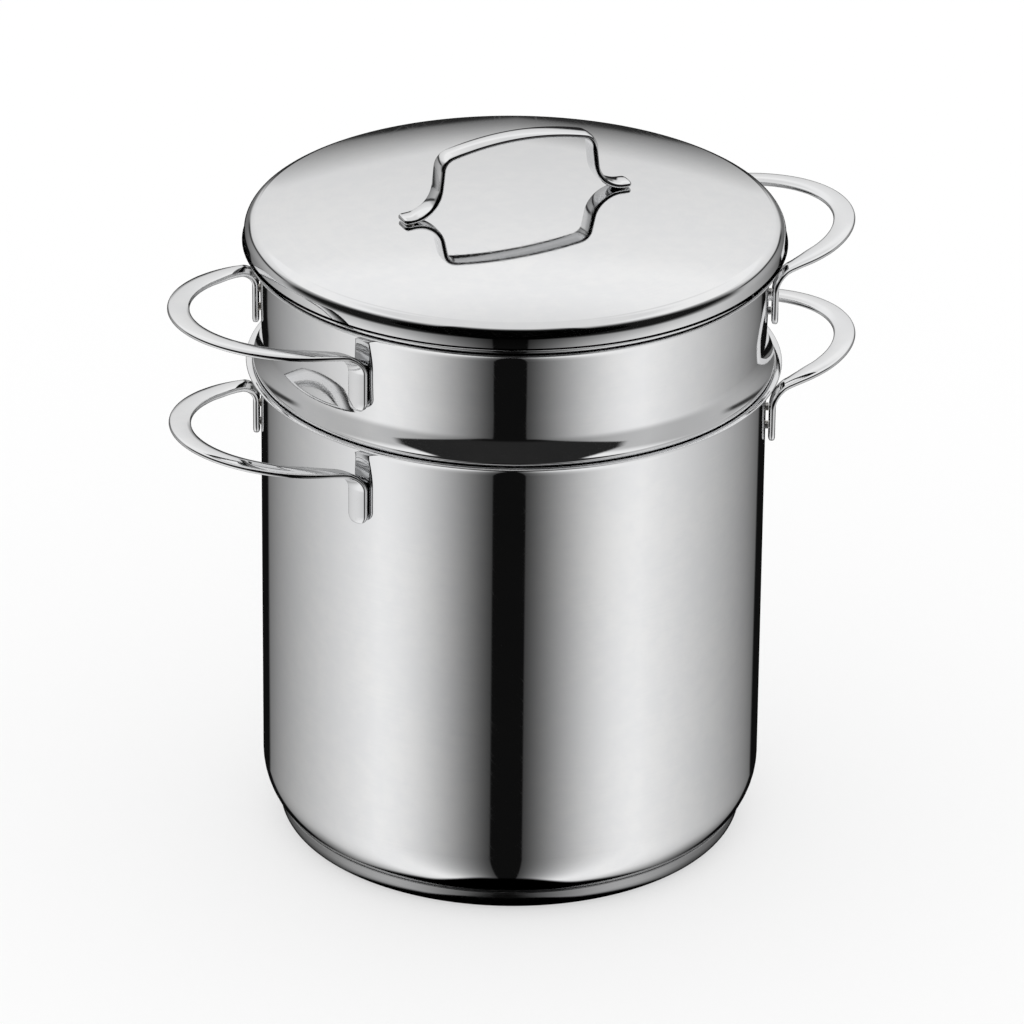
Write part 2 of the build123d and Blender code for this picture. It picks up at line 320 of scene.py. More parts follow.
@dataclass(frozen=True)
class Strip:
    """Strip with crowned faces and round edges that the handles are bent from."""

    width: float = 8.8
    thickness: float = 2.8
    crown: float = 10.0
    edge_radius: float = 1.4
    end_radius: float = 4.0
    least_half: float = 0.05
    face_steps: int = 6
    edge_steps: int = 14

    def section(self, half_width: float, half_thickness: float) -> list[tuple[float, float, float, float]]:
        """Points and directions round the section, with as many points at any size."""
        wide, thick = self.width / 2, self.thickness / 2
        lean = turned(self.crown)
        share = (1 - lean.y) / lean.x
        face = (wide - thick * share) / (lean.y - (1 - lean.x) * share)
        edge = (thick - face * (1 - lean.x)) / lean.x
        across_share = max(half_width, self.least_half) / wide
        up_share = max(half_thickness, self.least_half) / thick
        rows = []
        for side in (1, -1):
            arcs = (
                (Vector((0, side * (thick - face))), face, side * 90, self.crown, self.face_steps),
                (Vector((side * (edge - wide), 0)), edge, 90 + side * 90, 90 - self.crown, self.edge_steps),
            )
            for middle, radius, facing, half_turn, steps in arcs:
                for step in range(steps):
                    way = turned(facing - half_turn + 2 * half_turn * step / steps)
                    point = middle + way * radius
                    out = Vector((way.x / across_share, way.y / up_share)).normalized()
                    rows.append((point.x * across_share, point.y * up_share, out.x, out.y))
        return rows

    def end_fullness(self, way_in: float, corner: float) -> tuple[float, float]:
        """Half width and half thickness at a distance from the strip's rounded end.

        Args:
            way_in: Distance from the end.
            corner: Corner radius of the end, seen on the flat side.

        Returns:
            Half width and half thickness there.
        """
        cut_width = corner - math.sqrt(max(0.0, corner**2 - max(0.0, corner - way_in) ** 2))
        cut_thick = self.edge_radius - math.sqrt(
            max(0.0, self.edge_radius**2 - max(0.0, self.edge_radius - way_in) ** 2)
        )
        return self.width / 2 - cut_width, self.thickness / 2 - cut_thick

    def ends_rounded(self, path: list[Station], corner: float) -> list[StripFrame]:
        """Frames along a path, narrowed at both ends.

        Args:
            path: Middle and width direction of each place.
            corner: Corner radius of the ends.

        Returns:
            One frame per place.
        """
        way = distances(path)
        frames = []
        for (middle, across), done in zip(path, way):
            half_width, half_thickness = self.end_fullness(min(done, way[-1] - done), corner)
            frames.append(StripFrame(middle, across, half_width, half_thickness))
        return frames

    def bent(self, name: str, frames: list[StripFrame]) -> bpy.types.Object:
        """Makes the strip along its frames.

        Args:
            name: Name of the piece.
            frames: Places along the strip, with the upper face on the left of width and travel.

        Returns:
            The new object.
        """
        points: list[Vector] = []
        facing: list[Vector] = []
        count = 2 * (self.face_steps + self.edge_steps)
        for i, place in enumerate(frames):
            before, after = frames[max(0, i - 1)], frames[min(len(frames) - 1, i + 1)]
            travel = after.middle - before.middle
            length = travel.length
            travel.normalize()
            upper = place.across.cross(travel).normalized()
            edge = travel.cross(upper).normalized()
            widening = (after.half_width - before.half_width) / length
            thickening = (after.half_thickness - before.half_thickness) / length
            for across, up, out_across, out_up in self.section(place.half_width, place.half_thickness):
                points.append((place.middle + place.across * across + upper * up) * MM)
                lean = abs(out_across) * widening + abs(out_up) * thickening
                facing.append((edge * out_across + upper * out_up - travel * lean).normalized())
        faces = []
        for i in range(len(frames) - 1):
            for j in range(count):
                k = (j + 1) % count
                faces.append([i * count + j, (i + 1) * count + j, (i + 1) * count + k, i * count + k])
        faces.append(list(range(count)))
        last = (len(frames) - 1) * count
        faces.append(list(range(last + count - 1, last - 1, -1)))
        normals = [facing[corner] for face in faces for corner in face]
        return mesh_object(name, points, faces, normals)


@dataclass
class SheetSizes:
    """Sizes that the pot, the collar and the lid share."""

    sheet: float = 0.8
    wall_radius: float = 100.8
    flare_droop: float = 14.0
    edge_round: float = 4.5

    @property
    def edge_droop(self) -> float:
        """Turn of a flare past level, less what the rounded edge adds."""
        return self.flare_droop - self.edge_round

    def flare_center(self, top: float, radius: float) -> Vector:
        """Middle of the arc of a flared rim whose top has a height."""
        return Vector((self.wall_radius + radius, top - radius - self.sheet))

    def flared(self, line: Contour, top: float, radius: float) -> None:
        """Runs a line up the wall and out round a flared rim."""
        center = self.flare_center(top, radius)
        line.line(self.wall_radius, center.y)
        line.arc(center, radius, 180, -90 - self.edge_droop)


@dataclass
class Piece:
    """A finished piece, the body it rides on, the node it stands for and its material slot."""

    item: bpy.types.Object
    body: Body
    node: str
    slot: Slot
    lay: Lay = Lay.WALL

    def settle(self) -> None:
        """Tells the frame where the piece belongs."""
        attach(self.item, self.body.value)
        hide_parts(self.node)
        log.info("%s rides on %s in place of %s", self.item.name, self.body.value, self.node)


@dataclass
class SideHandle:
    """Strip loop at the side of the pot or of the strainer, with a tab at each end."""

    body: Body
    height: float
    strip: Strip = field(default_factory=Strip)
    wall_radius: float = SheetSizes.wall_radius
    loop_center: float = 90.5
    loop_reach: float = 51.7
    loop_half_span: float = 45.6
    rise: float = 5.0
    leg_end: float = 106.0
    tab_radius: float = 102.7
    tab_spread: float = 27.2
    tab_drop: float = 22.6
    knee_radius: float = 8.0
    turn_length: float = 20.0

    loop_steps: ClassVar[int] = 56
    leg_steps: ClassVar[int] = 6
    knee_steps: ClassVar[int] = 16
    ease_back: ClassVar[int] = 9
    ease_on: ClassVar[int] = 4
    ease_rounds: ClassVar[int] = 30
    tab_places: ClassVar[tuple[float, ...]] = (
        3.0, 6.0, 9.0, 11.5, 12.2, 12.9, 13.5, 14.0, 14.4, 14.8, 15.1, 15.3, 15.4,
    )

    def half_path(self) -> list[Station]:
        """Middle line and width direction from the loop's tip to the end of one tab."""
        rise = math.radians(self.rise)
        spread = math.radians(self.tab_spread)
        out = Vector((math.cos(spread), math.sin(spread), 0))
        along_wall = Vector((-math.sin(spread), math.cos(spread), 0))
        tab_top = out * self.tab_radius + Vector((0, 0, self.height - self.knee_radius))
        share = (self.leg_end - self.loop_center) / self.loop_reach
        leg_middle = Vector((self.leg_end, self.loop_half_span * math.sqrt(1 - share**2), 0))
        leg_way = Vector((leg_middle.x - tab_top.x, leg_middle.y - tab_top.y, 0)).normalized()
        reach = self.knee_radius / out.dot(leg_way)
        knee_start = tab_top + leg_way * reach + Vector((0, 0, self.knee_radius))

        path: list[Station] = []
        last_turn = math.acos(share)
        for i in range(self.loop_steps + 1):
            turn = last_turn * i / self.loop_steps
            cos, sin = math.cos(turn), math.sin(turn)
            flat = Vector((self.loop_center + self.loop_reach * cos, self.loop_half_span * sin))
            travel = Vector((-self.loop_reach * sin, self.loop_half_span * cos)).normalized()
            across = self.on_loop_plane_way(Vector((travel.y, -travel.x)), rise)
            path.append((self.on_loop_plane(flat, rise), across))
        leg_start, leg_across = path[-1]
        for i in range(1, self.leg_steps + 1):
            path.append((leg_start.lerp(knee_start, i / self.leg_steps), leg_across))
        for i in range(1, self.knee_steps + 1):
            turn = math.radians(90 + 90 * i / self.knee_steps)
            middle = tab_top + leg_way * reach * (1 + math.cos(turn))
            path.append((middle + Vector((0, 0, self.knee_radius * math.sin(turn))), along_wall))
        tab_length = self.tab_drop - self.knee_radius
        for way in self.tab_places:
            path.append((tab_top - Vector((0, 0, tab_length * way / self.tab_places[-1])), along_wall))
        knee = self.loop_steps + self.leg_steps + self.ease_on
        return self.softened(self.eased(path, self.loop_steps - self.ease_back, knee), knee)

    def eased(self, path: list[Station], first: int, last: int) -> list[Station]:
        """Smooths the middle line between two places, where the loop runs into its leg."""
        middles = [middle.copy() for middle, _ in path]
        for _ in range(self.ease_rounds):
            before = [middle.copy() for middle in middles]
            for i in range(first, last):
                middles[i] = before[i] / 2 + (before[i - 1] + before[i + 1]) / 4
        return [(middle, across) for middle, (_, across) in zip(middles, path)]

    def softened(self, path: list[Station], knee: int) -> list[Station]:
        """Lets the width direction turn smoothly from the loop into the tab, up to a place in the knee."""
        way = distances(path)
        soft = []
        for (middle, across), done in zip(path, way):
            share = min(1.0, max(0.0, (done - way[knee] + self.turn_length) / self.turn_length))
            share = share * share * (3 - 2 * share)
            soft.append((middle, across.lerp(path[-1][1], share).normalized()))
        return soft

    def on_loop_plane(self, flat: Vector, rise: float) -> Vector:
        """Point of the sloping loop plane above a flat place of the loop."""
        out = flat.x - self.wall_radius
        return Vector((self.wall_radius + out * math.cos(rise), flat.y, self.height + out * math.sin(rise)))

    def on_loop_plane_way(self, flat: Vector, rise: float) -> Vector:
        """Direction in the sloping loop plane."""
        return Vector((flat.x * math.cos(rise), flat.y, flat.x * math.sin(rise)))

    def build(self, hand: Hand) -> Piece:
        """Makes the handle of one side.

        Args:
            hand: Side of the pot.

        Returns:
            The finished piece.
        """
        half = self.half_path()
        mirror = Matrix.Diagonal((1, -1, 1))
        path = [(mirror @ middle, mirror @ across) for middle, across in reversed(half[1:])] + half
        if hand is Hand.LEFT:
            swap = Matrix.Diagonal((-1, -1, 1))
            path = [(swap @ middle, swap @ across) for middle, across in path]
        name = f"{self.body.value}_loop_{hand.name.lower()}"
        item = self.strip.bent(name, self.strip.ends_rounded(path, self.strip.end_radius))
        return Piece(item, self.body, f"{self.body.value}_handle_{hand.name.lower()}", Slot.STRIP, Lay.LOOP)


@dataclass
class Pot:
    """Pot body on its base, with two side handles."""

    sizes: SheetSizes = field(default_factory=SheetSizes)
    floor_underside: float = 5.7
    corner_radius: float = 27.0
    corner_lift: float = 0.3
    floor_blend: float = 8.0
    rim_top: float = 201.0
    flare_radius: float = 4.7
    base_radius: float = 94.0
    base_corner: float = 6.5
    base_height: float = 8.8
    handle_height: float = 188.9
    right_handle_height: float = 188.0

    def shell(self) -> Piece:
        """Pot body: floor, round corner, wall and flared rim."""
        sizes = self.sizes
        corner = Vector((sizes.wall_radius - self.corner_radius, self.corner_lift + self.corner_radius))
        blend_height = self.floor_underside + self.floor_blend
        apart = self.corner_radius - self.floor_blend
        blend = Vector((corner.x + math.sqrt(apart**2 - (corner.y - blend_height) ** 2), blend_height))
        meeting = angle_of(blend - corner)
        line = Contour((0, self.floor_underside))
        line.line(blend.x, self.floor_underside)
        line.arc(blend, self.floor_blend, -90, meeting + 90)
        line.arc(corner, self.corner_radius, meeting, -meeting)
        sizes.flared(line, self.rim_top, self.flare_radius)
        item = turned_piece("pot_body", line.sheet(sizes.sheet), Facing.RIGHT)
        return Piece(item, Body.POT, "pot_shell", Slot.POLISHED)

    def base(self) -> Piece:
        """Shallow dish that closes the base from below."""
        line = Contour((0, 0))
        line.corner((self.base_radius, 0), (self.base_radius, self.base_height), self.base_corner)
        line.line(self.base_radius, self.base_height - self.sizes.sheet / 2)
        item = turned_piece("pot_base", line.sheet(self.sizes.sheet), Facing.RIGHT)
        return Piece(item, Body.POT, "base_capsule", Slot.BASE)

    def build(self) -> list[Piece]:
        """Makes every piece of the pot that is shaped here."""
        left = SideHandle(Body.POT, self.handle_height)
        right = SideHandle(Body.POT, self.right_handle_height, loop_reach=54.9, rise=4.2, tab_radius=103.4)
        return [self.shell(), self.base(), left.build(Hand.LEFT), right.build(Hand.RIGHT)]


@dataclass
class Strainer:
    """Collar of the strainer with its folded bead and flared rim, and two side handles."""

    sizes: SheetSizes = field(default_factory=SheetSizes)
    pot_flare: Vector = field(
        default_factory=lambda: SheetSizes().flare_center(Pot.rim_top, Pot.flare_radius)
    )
    pot_flare_reach: float = 5.8
    bead_center: float = 102.3
    bead_radius: float = 1.6
    hem_return: float = 2.0
    skirt_top: float = 212.2
    waist_lean: float = 2.0
    waist_bow: float = 246.0
    rim_top: float = 249.0
    flare_radius: float = 4.2
    handle_height: float = 238.9

    def collar(self) -> Piece:
        """Upright wall above the pot, its foot drawn out to the folded bead."""
        sizes = self.sizes
        reach = self.pot_flare_reach + self.bead_radius
        height = self.pot_flare.y + math.sqrt(reach**2 - (self.pot_flare.x - self.bead_center) ** 2)
        waist = sizes.wall_radius - 2 * self.waist_bow * (1 - turned(self.waist_lean).x)
        offset = self.bead_center - waist
        drop = self.skirt_top - height
        skirt = (drop**2 + offset**2 - self.bead_radius**2) / (2 * (self.bead_radius + offset))
        meeting = math.degrees(math.asin(drop / (skirt + self.bead_radius)))
        line = Contour((self.bead_center - self.hem_return, height - self.bead_radius))
        line.line(self.bead_center, height - self.bead_radius)
        line.arc((self.bead_center, height), self.bead_radius, -90, 90 + meeting)
        line.arc((waist + skirt, self.skirt_top), skirt, 180 + meeting, -meeting)
        line.arc((waist + self.waist_bow, self.skirt_top), self.waist_bow, 180, -self.waist_lean)
        lean = turned(self.waist_lean)
        bow_middle = line.pen - Vector((lean.x, -lean.y)) * self.waist_bow
        line.arc(bow_middle, self.waist_bow, -self.waist_lean, self.waist_lean)
        sizes.flared(line, self.rim_top, self.flare_radius)
        item = turned_piece("strainer_wall", line.sheet(sizes.sheet), Facing.RIGHT)
        return Piece(item, Body.STRAINER, "strainer_collar", Slot.POLISHED)

    def build(self) -> list[Piece]:
        """Makes every piece of the strainer that is shaped here."""
        left = SideHandle(Body.STRAINER, self.handle_height, rise=3.8, tab_drop=24.2)
        right = SideHandle(Body.STRAINER, self.handle_height, loop_reach=53.0, tab_drop=22.4, tab_radius=103.4)
        return [self.collar(), left.build(Hand.LEFT), right.build(Hand.RIGHT)]


@dataclass
class Lid:
    """Domed lid with an upright skirt, a plug that centres it and a bow handle."""

    sheet: float = SheetSizes.sheet
    top: float = 268.2
    dome_radius: float = 782.0
    skirt_radius: float = 107.15
    skirt_bottom: float = 251.1
    shoulder: float = 5.6
    skirt_lean: float = 3.0
    skirt_bow: float = 42.0
    step_radius: float = 105.5
    rest_height: float = 249.3
    plug_radius: float = 99.3
    plug_depth: float = 4.6
    bend: float = 1.0
    inner_bend: float = 0.4
    strip: Strip = field(default_factory=Strip)
    bow_half_length: float = 49.25
    bow_leg_foot: float = 34.7
    bow_leg_top: float = 32.3
    bow_shoulder_height: float = 291.1
    bow_top: float = 295.75
    bow_foot_blend: float = 12.4
    bow_shoulder_blend: float = 6.0
    bow_foot_gap: float = 0.05
    bow_end_radius: float = 2.2
    bow_turn: float = -2.3
    bow_step: float = 1.5
    bow_arc_step: float = 4.0
    end_shares: ClassVar[tuple[float, ...]] = (0.0, 0.05, 0.15, 0.3, 0.5, 0.75)

    def dome_height(self, radius: float) -> float:
        """Height of the dome's outer side at a radius."""
        return self.top - self.dome_radius + math.sqrt(self.dome_radius**2 - radius**2)

    def shell(self) -> Piece:
        """Dome, round shoulder, skirt, hem turned in, rest ring and plug."""
        inside = self.skirt_radius - self.shoulder
        below = math.sqrt((self.dome_radius - self.shoulder) ** 2 - inside**2)
        middle = Vector((inside, self.top - self.dome_radius + below))
        meeting = math.degrees(math.atan2(below, inside))
        line = Contour((0, self.top), Facing.LEFT)
        line.arc((0, self.top - self.dome_radius), self.dome_radius, 90, meeting - 90)
        line.arc(middle, self.shoulder, meeting, self.skirt_lean - meeting)
        bow_middle = middle + turned(self.skirt_lean) * (self.shoulder - self.skirt_bow)
        line.arc(bow_middle, self.skirt_bow, self.skirt_lean, -2 * self.skirt_lean)
        corners = [(line.pen.x, self.skirt_bottom), (self.step_radius, self.skirt_bottom)]
        corners += [(radius, self.rest_height) for radius in (self.step_radius, self.plug_radius)]
        corners.append((self.plug_radius, self.rest_height - self.plug_depth))
        for here, after, bend in zip(corners, corners[1:], (self.bend, self.inner_bend) * 2):
            line.corner(here, after, bend)
        line.line(self.plug_radius, self.rest_height - self.plug_depth + self.sheet / 2)
        item = turned_piece("lid_body", line.sheet(self.sheet), Facing.LEFT)
        return Piece(item, Body.LID, "lid_shell", Slot.POLISHED, Lay.DOME)

    def bow(self) -> Piece:
        """Strip bow with a foot at each end."""
        lift = self.bow_foot_gap + self.strip.thickness / 2
        foot = Vector((self.bow_leg_foot, self.dome_height(self.bow_leg_foot) + lift))
        leg_top = Vector((self.bow_leg_top, self.bow_shoulder_height))
        rise = self.bow_top - self.bow_shoulder_height
        arch = (self.bow_leg_top**2 + rise**2) / (2 * rise)
        line = Contour((self.bow_half_length, self.dome_height(self.bow_half_length) + lift))
        line.arc_step = self.bow_arc_step
        line.longest_step = self.bow_step
        line.corner(foot, leg_top, self.bow_foot_blend)
        inner = arch - self.bow_shoulder_blend
        arch_center = Vector((0, self.bow_top - arch))
        leg = (leg_top - foot).normalized()
        side = Vector((leg.y, -leg.x))
        near = foot - side * self.bow_shoulder_blend
        reach = (near - arch_center).dot(leg)
        gap = (near - arch_center).length_squared - inner**2
        center = near + leg * (math.sqrt(reach**2 - gap) - reach)
        first = angle_of(side)
        last = angle_of(center - arch_center)
        line.line(*(center + side * self.bow_shoulder_blend))
        line.arc(center, self.bow_shoulder_blend, first, last - first)
        line.arc(arch_center, arch, last, 90 - last)
        flat = [line.spans[0][0][0]]
        for span in line.spans:
            flat += [point for point, _ in span[1:]]
        dense = self.spread(flat)
        turn = math.radians(self.bow_turn)
        way = Vector((math.cos(turn), math.sin(turn), 0))
        across = Vector((math.sin(turn), -math.cos(turn), 0))
        sides = [(-point.x, point.y) for point in dense[:-1]]
        sides += [(point.x, point.y) for point in reversed(dense)]
        path = [(way * out + Vector((0, 0, height)), across) for out, height in sides]
        item = self.strip.bent("lid_bow", self.strip.ends_rounded(path, self.bow_end_radius))
        return Piece(item, Body.LID, "lid_handle", Slot.STRIP, Lay.BOW)

    def spread(self, flat: list[Vector]) -> list[Vector]:
        """Adds places to the long straight runs and to the rounded end."""
        dense = [flat[0]]
        for point in flat[1:]:
            gap = (point - dense[-1]).length
            pieces = max(1, math.ceil(gap / self.bow_step))
            start = dense[-1]
            dense += [start.lerp(point, (i + 1) / pieces) for i in range(pieces)]
        first, second = dense[0], dense[1]
        ends = [first.lerp(second, share) for share in self.end_shares]
        return ends + dense[1:]

    def build(self) -> list[Piece]:
        """Makes every piece of the lid that is shaped here."""
        return [self.shell(), self.bow()]


class Wire:
    """A node socket that takes part in written-out maths.

    Args:
        graph: Graph that new nodes go into.
        socket: Output socket that is wrapped.
    """

    def __init__(self, graph: Graph, socket: bpy.types.NodeSocket) -> None:
        """Wraps the socket."""
        self.graph = graph
        self.socket = socket

    def math(self, operation: str, *others: Any) -> Wire:
        """Result of a Math node on this wire and on values or wires for its other inputs."""
        return self.graph.node("ShaderNodeMath", {"operation": operation}, [self, *others])

    def __add__(self, other: Any) -> Wire:
        """Sum."""
        return self.math("ADD", other)

    __radd__ = __add__

    def __mul__(self, other: Any) -> Wire:
        """Product."""
        return self.math("MULTIPLY", other)

    __rmul__ = __mul__

    def __sub__(self, other: Any) -> Wire:
        """Difference."""
        return self.math("SUBTRACT", other)

    def __rsub__(self, other: Any) -> Wire:
        """Difference from a number."""
        return self.graph.node("ShaderNodeMath", {"operation": "SUBTRACT"}, [other, self])

    def __truediv__(self, other: Any) -> Wire:
        """Quotient."""
        return self.math("DIVIDE", other)

    def share(self, low: float, high: float) -> Wire:
        """Even rise from 0 at low to 1 at high."""
        return self.graph.node("ShaderNodeMapRange", {}, [self, low, high, 0.0, 1.0])

    def ramp(self, low: float, high: float) -> Wire:
        """Smooth step from 0 at low to 1 at high."""
        settings = {"interpolation_type": "SMOOTHSTEP"}
        return self.graph.node("ShaderNodeMapRange", settings, [self, low, high, 0.0, 1.0])


class Graph:
    """Node tree of a material or of the world.

    Args:
        tree: The tree to fill, which is cleared first.
    """

    def __init__(self, tree: bpy.types.NodeTree) -> None:
        """Clears the tree."""
        self.tree = tree
        tree.nodes.clear()

    def node(self, kind: str, settings: dict[str, Any], inputs: Any, output: Any = 0) -> Wire:
        """Adds a node.

        Args:
            kind: Type of the node.
            settings: Its settings, set first.
            inputs: Values or wires by socket name or place.
            output: Name or place of the output wanted.

        Returns:
            That output.
        """
        node = self.tree.nodes.new(kind)
        for key, value in settings.items():
            setattr(node, key, value)
        pairs = inputs.items() if isinstance(inputs, dict) else enumerate(inputs)
        for key, value in pairs:
            if isinstance(value, Wire):
                self.tree.links.new(value.socket, node.inputs[key])
            else:
                node.inputs[key].default_value = value
        return Wire(self, node.outputs[output]) if len(node.outputs) else Wire(self, None)

    def axes(self, place: Wire) -> list[Wire]:
        """The three parts of a vector."""
        return [self.node("ShaderNodeSeparateXYZ", {}, [place], axis) for axis in "XYZ"]

    def mixed_surface(self, share: Any, first: Wire, second: Wire) -> None:
        """Makes a mix of two shaders the surface."""
        shader = self.node("ShaderNodeMixShader", {}, [share, first, second])
        self.node("ShaderNodeOutputMaterial", {}, {"Surface": shader})


def new_material(name: str) -> tuple[bpy.types.Material, Graph]:
    """Makes a material with an empty graph."""
    material = bpy.data.materials.new(name)
    material.use_nodes = True
    return material, Graph(material.node_tree)


def stage_object(
    name: str, points: Sequence[Any], faces: list[list[int]], material: bpy.types.Material
) -> bpy.types.Object:
    """Makes an object of the studio.

    Args:
        name: Name of the object.
        points: Points in metres.
        faces: Corners of each face.
        material: Its material.

    Returns:
        The new object.
    """
    mesh = bpy.data.meshes.new(name)
    mesh.from_pydata(points, [], faces)
    mesh.materials.append(material)
    return linked(name, mesh)


@dataclass(frozen=True)
class Metal:
    """Metal with the marks that its making and use leave on it, and with painted shade near the floor.

    Line depth is in metres. Line pitch is in lines per metre.
    """

    name: str
    grey: float = 0.72
    roughness: float = 0.035
    cloud: float = 0.05
    line_depth: float = 1.0e-6
    line_pitch: float = 3200.0
    line_haze: float = 0.02
    scratch_haze: float = 0.12
    heat: float = 0.0
    # Share at the foot: its extra scratches are wear, and its darker colour is painted shade.
    foot_wear_and_shade: float = 0.0

    cloud_size: ClassVar[float] = 0.040
    smudges_per_cloud: ClassVar[float] = 7
    smudge_share: ClassVar[float] = 0.5
    along_scale: ClassVar[float] = 30
    scratch_turns: ClassVar[tuple[Step, ...]] = ((0.3, 0.8, 0.2), (1.2, -0.5, 0.9), (2.1, 0.4, -1.1))
    scratch_scale: ClassVar[Step] = (2200.0, 18.0, 18.0)
    scratch_span: ClassVar[Span] = (0.70, 0.80)
    scratch_least: ClassVar[float] = 0.3
    scratch_depth: ClassVar[float] = 0.5
    # Height of the band at the foot, and how much painted shade darkens its colour.
    wear_and_shade_height: ClassVar[float] = 0.004
    painted_shade_near_floor: ClassVar[float] = 0.3
    least_roughness: ClassVar[float] = 0.6
    straw: ClassVar[Step] = (1.0, 0.84, 0.56)
    tarnish: ClassVar[Step] = (0.96, 0.965, 0.975)
    line_shade: ClassVar[float] = 0.6
    shade_span: ClassVar[Span] = (-0.25, 0.35)

    def noise(self, graph: Graph, place: Wire, scale: float = 1.0, detail: float = 2.0) -> Wire:
        """Noise between 0 and 1 at a place."""
        inputs = {"Vector": place, "Scale": scale, "Detail": detail}
        return graph.node("ShaderNodeTexNoise", {}, inputs, "Fac")

    def across_lines(self, graph: Graph, place: Wire, lay: Lay) -> Wire:
        """Distance in metres that grows across the polish lines."""
        x, y, z = graph.axes(place)
        if lay is Lay.BOW:
            return y
        if lay is Lay.LOOP:
            stretch = SideHandle.loop_half_span / SideHandle.loop_reach
            out = (x.math("ABSOLUTE") - SideHandle.loop_center * MM) * stretch
            return (out * out + y * y).math("SQRT")
        radius = (x * x + y * y).math("SQRT")
        return radius - z if lay is Lay.DOME else radius + z

    def lines(self, graph: Graph, place: Wire, lay: Lay) -> Wire:
        """Fine polish lines, long in one direction."""
        x, y, _ = graph.axes(place)
        across = self.across_lines(graph, place, lay) * self.line_pitch
        drawn = graph.node("ShaderNodeCombineXYZ", {}, [x * self.along_scale, y * self.along_scale, across])
        return self.noise(graph, drawn, detail=3.0)

    def scratches(self, graph: Graph, place: Wire) -> Wire:
        """Share of hairline scratches that run several ways."""
        total: Any = 0.0
        for turn in self.scratch_turns:
            inputs = {"Vector": place, "Rotation": turn}
            leaning = graph.node("ShaderNodeVectorRotate", {"rotation_type": "EULER_XYZ"}, inputs)
            drawn = graph.node("ShaderNodeVectorMath", {"operation": "MULTIPLY"}, [leaning, self.scratch_scale])
            total = self.noise(graph, drawn, detail=0.0).ramp(*self.scratch_span) + total
        return total.math("MINIMUM", 1.0)

    def make(self, lay: Lay) -> bpy.types.Material:
        """Builds the material.

        Args:
            lay: Way that the polish lines run.

        Returns:
            The material.
        """
        material, graph = new_material(f"{self.name}_{lay.name.lower()}")
        place = graph.node("ShaderNodeTexCoord", {}, {}, "Object")
        cloud = self.noise(graph, place, 1 / self.cloud_size) - NOISE_MEAN
        smudge = self.noise(graph, place, self.smudges_per_cloud / self.cloud_size, 4.0) - NOISE_MEAN
        lines = self.lines(graph, place, lay)
        scratches = self.scratches(graph, place)
        # Share near the floor: it adds scratches as wear and darkens the colour as painted shade.
        worn_and_shaded = (1 - graph.axes(place)[2].share(0.0, self.wear_and_shade_height)) * self.foot_wear_and_shade
        haze = cloud * self.cloud + smudge * (self.cloud * self.smudge_share)
        haze = haze + (lines - NOISE_MEAN) * self.line_haze
        haze = haze + scratches * self.scratch_haze * (self.scratch_least + worn_and_shaded)
        roughness = (haze + self.roughness).math("MAXIMUM", self.roughness * self.least_roughness)

        bright = tuple(self.grey * (1 - self.heat * (1 - share)) for share in self.straw) + (1,)
        dull = tuple(self.grey * share for share in self.tarnish) + (1,)
        shade = cloud + smudge + lines * self.line_shade - self.line_shade * NOISE_MEAN
        # Taking the foot share off the tone darkens the colour near the floor: painted shade.
        shade = shade.ramp(*self.shade_span) - worn_and_shaded * self.painted_shade_near_floor
        colour = graph.node("ShaderNodeMix", {"data_type": "RGBA"}, {0: shade, 6: dull, 7: bright}, 2)
        height = lines - scratches * self.scratch_depth
        relief = {"Strength": 1.0, "Distance": self.line_depth, "Height": height}
        bump = graph.node("ShaderNodeBump", {}, relief)
        inputs = {"Base Color": colour, "Metallic": 1.0, "Roughness": roughness, "Normal": bump}
        shader = graph.node("ShaderNodeBsdfPrincipled", {}, inputs)
        graph.node("ShaderNodeOutputMaterial", {}, {"Surface": shader})
        return material


